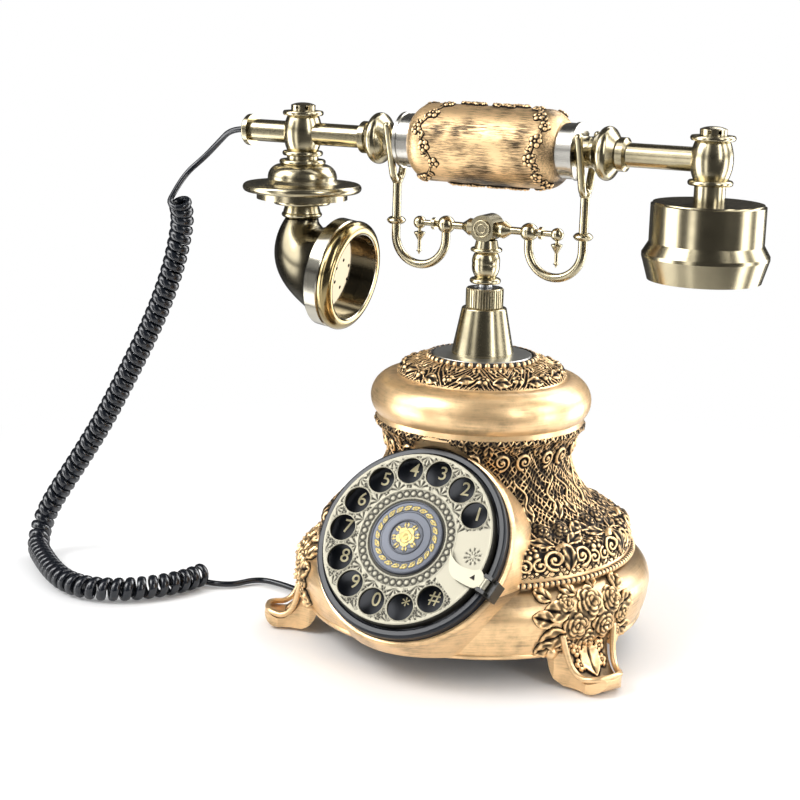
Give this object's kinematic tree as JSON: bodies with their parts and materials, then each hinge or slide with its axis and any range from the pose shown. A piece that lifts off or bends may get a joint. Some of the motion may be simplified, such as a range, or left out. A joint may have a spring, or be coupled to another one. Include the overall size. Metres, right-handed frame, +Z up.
{
  "type": "rotary telephone",
  "caption": "Antique-style rotary desk telephone: footed gold resin base, tilted finger-wheel dial, brass column and sprung cradle, handset with horn mouthpiece and curly cord.",
  "frame": {"origin": "on the table, under the axis of the column", "axes": "+Z up, +X along the handset towards the earpiece, the dial faces -Y"},
  "size_m": [0.3991, 0.2039, 0.2593],
  "materials": {
    "antique_brass": "antique, dark in the recesses, brushed",
    "gold_resin": "cast resin with satin gold paint and dark patina",
    "rubber": "matt",
    "black_steel": "satin black paint",
    "steel": "plain",
    "board": "printed board",
    "black_plastic": "moulded",
    "pale_plastic": "moulded",
    "silvered_brass": "spun, concentric marks",
    "spring_steel": "drawn wire and strip",
    "slate_metal": "satin slate black",
    "wheel_metal": "pale champagne plate with engraved leaves",
    "badge_metal": "enamelled ring round a gold rosette",
    "polished_brass": "polished, with a silver band",
    "pale_metal": "polished perforated disc",
    "cord_plastic": "glossy moulded cord"
  },
  "bodies": {
    "base": {"base_casting": "gold_resin", "foot_pads": "rubber", "bottom_plate": "black_steel", "bottom_screws": "steel", "circuit_board": "board", "ringer_speaker": "black_plastic", "line_jack": "black_plastic", "cord_grommet": "rubber", "column_flange": "silvered_brass", "column_cone": "antique_brass", "knurled_collar": "antique_brass", "guide_tube": "steel", "column_nut": "steel", "switch_bracket": "steel", "hook_switch": "black_plastic", "cradle_spring": "spring_steel", "dial_bezel": "slate_metal", "dial_dish": "black_plastic", "dial_frame": "steel", "dial_screws": "steel", "return_spring": "spring_steel", "stop_block": "black_plastic", "stop_pin": "steel", "cord_handset_lead": "cord_plastic", "cord_curls": "cord_plastic", "cord_base_lead": "cord_plastic"},
    "dial": {"finger_wheel": "wheel_metal", "centre_badge": "badge_metal", "dial_shaft": "steel", "main_gear": "antique_brass"},
    "governor": {"governor_spindle": "antique_brass"},
    "stop_key": {"finger_stop": "wheel_metal"},
    "cradle": {"cradle_stem": "antique_brass", "plunger_rod": "steel", "plunger_clip": "steel", "cradle_hub": "antique_brass", "left_arm": "antique_brass", "right_arm": "antique_brass", "left_hook": "antique_brass", "right_hook": "antique_brass", "pendants": "antique_brass"},
    "switch": {"switch_button": "pale_plastic"},
    "handset": {"core_tube": "antique_brass", "grip_sleeve": "gold_resin", "left_ferrule": "antique_brass", "right_ferrule": "antique_brass", "left_neck": "antique_brass", "right_neck": "antique_brass", "cord_end_ring": "antique_brass", "mouthpiece_tee": "antique_brass", "earpiece_tee": "antique_brass", "cap_nuts": "antique_brass", "mouthpiece_skirt": "antique_brass", "horn_elbow": "antique_brass", "horn_rim": "polished_brass", "horn_grille": "pale_metal", "microphone": "black_plastic", "earpiece_cup": "antique_brass", "earpiece_cap": "antique_brass", "receiver": "black_plastic"}
  },
  "joints": [
    {"name": "dial_turn", "type": "hinge", "parent": "base", "child": "dial", "pos_m": [0, -0.0755, 0.0677], "axis": [0, 0.809, -0.5878], "range_deg": [0, 327], "stiffness_Nm_per_rad": 0.003, "springref_deg": -17.19},
    {"name": "governor_spin", "type": "hinge", "parent": "base", "child": "governor", "pos_m": [-0.01517, -0.05912, 0.07153], "axis": [0, 0.809, -0.5878], "range_deg": [-1480, 0]},
    {"name": "stop_key_press", "type": "hinge", "parent": "base", "child": "stop_key", "pos_m": [0.04444, -0.08619, 0.05656], "axis": [-0.3256, -0.5558, -0.7649], "range_deg": [0, 2.5], "stiffness_Nm_per_rad": 0.02, "springref_deg": -5.73},
    {"name": "handset_lift", "type": "slide", "parent": "base", "child": "handset", "axis": [0, 0, 1], "range_m": [0, 0.15], "deforming": ["cord_curls", "cord_handset_lead"]},
    {"name": "cradle_rise", "type": "slide", "parent": "base", "child": "cradle", "axis": [0, 0, 1], "range_m": [0, 0.005], "deforming": ["cradle_spring"]},
    {"name": "switch_rise", "type": "slide", "parent": "base", "child": "switch", "axis": [0, 0, 1], "range_m": [0, 0.0015]}
  ],
  "couplings": [
    {"joint": "governor_spin", "follows": "dial_turn", "ratio": -4.5},
    {"joint": "cradle_rise", "follows": "handset_lift", "ratio": 0.0333},
    {"joint": "switch_rise", "follows": "handset_lift", "ratio": 0.0099}
  ]
}
